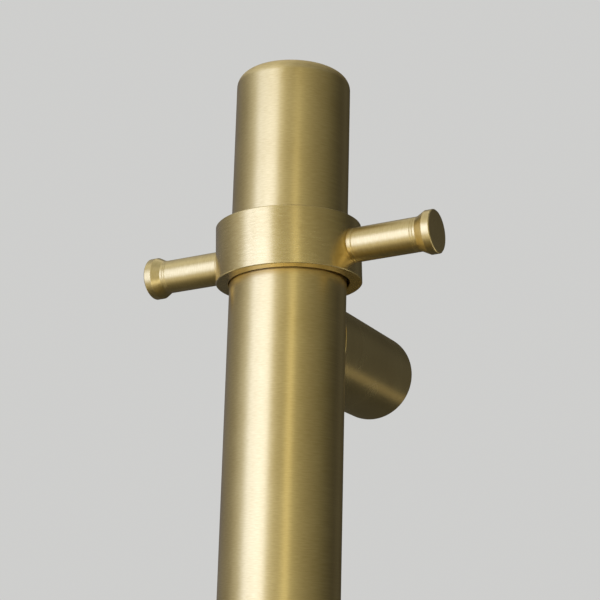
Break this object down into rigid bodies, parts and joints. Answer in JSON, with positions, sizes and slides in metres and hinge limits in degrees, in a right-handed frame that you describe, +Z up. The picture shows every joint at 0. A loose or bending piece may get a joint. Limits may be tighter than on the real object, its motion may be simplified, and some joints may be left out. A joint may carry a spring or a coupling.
{
  "type": "towel warmer rail",
  "caption": "Vertical single-bar heated towel rail: a round satin brass tube held off the wall by cylindrical posts, with a sliding, turning hook ring that carries flared pegs.",
  "frame": {"origin": "on the wall plane, midway between the two wall posts", "axes": "+Z up along the bar, +Y into the wall, +X to the right for a person facing the wall"},
  "size_m": [0.1104, 0.1025, 0.9],
  "materials": {
    "satin_brass": "satin, brushed around the tube",
    "steel": "satin",
    "aluminium": "machined",
    "seal_rubber": "matt",
    "block_plastic": "moulded",
    "tag_brass": "pressed sheet",
    "live_insulation": "silicone",
    "neutral_insulation": "silicone",
    "earth_insulation": "silicone"
  },
  "bodies": {
    "rail": {"rail_tube": "satin_brass", "top_cap": "satin_brass", "bottom_cap": "satin_brass", "upper_post": "satin_brass", "lower_post": "satin_brass", "upper_spigot": "steel", "lower_spigot": "steel", "upper_spigot_nut": "steel", "lower_spigot_nut": "steel", "post_set_screws": "steel", "terminal_screws": "steel", "earth_screw": "steel", "element_rod": "steel", "thermal_cutout": "steel", "upper_saddle_washer": "aluminium", "lower_saddle_washer": "aluminium", "upper_wall_boss": "aluminium", "lower_wall_boss": "aluminium", "element_spacers": "aluminium", "top_cap_seal": "seal_rubber", "bottom_cap_seal": "seal_rubber", "cable_grommet": "seal_rubber", "blanking_plug": "seal_rubber", "element_seal": "seal_rubber", "terminal_block": "block_plastic", "earth_tag": "tag_brass", "live_lead": "live_insulation", "cutout_jumper": "live_insulation", "neutral_lead": "neutral_insulation", "earth_lead": "earth_insulation"},
    "grip_rings": {"upper_grip_ring": "seal_rubber", "lower_grip_ring": "seal_rubber"},
    "hook_ring": {"hook_ring": "satin_brass", "left_peg": "satin_brass", "right_peg": "satin_brass", "peg_studs": "steel"}
  },
  "joints": [
    {"name": "ring_slide", "type": "slide", "parent": "rail", "child": "grip_rings", "axis": [0, 0, 1], "range_m": [0, 0.05]},
    {"name": "ring_swivel", "type": "hinge", "parent": "grip_rings", "child": "hook_ring", "pos_m": [0, -0.0775, 0.38427], "axis": [-0.0419, 0, 0.9991], "continuous": true}
  ]
}
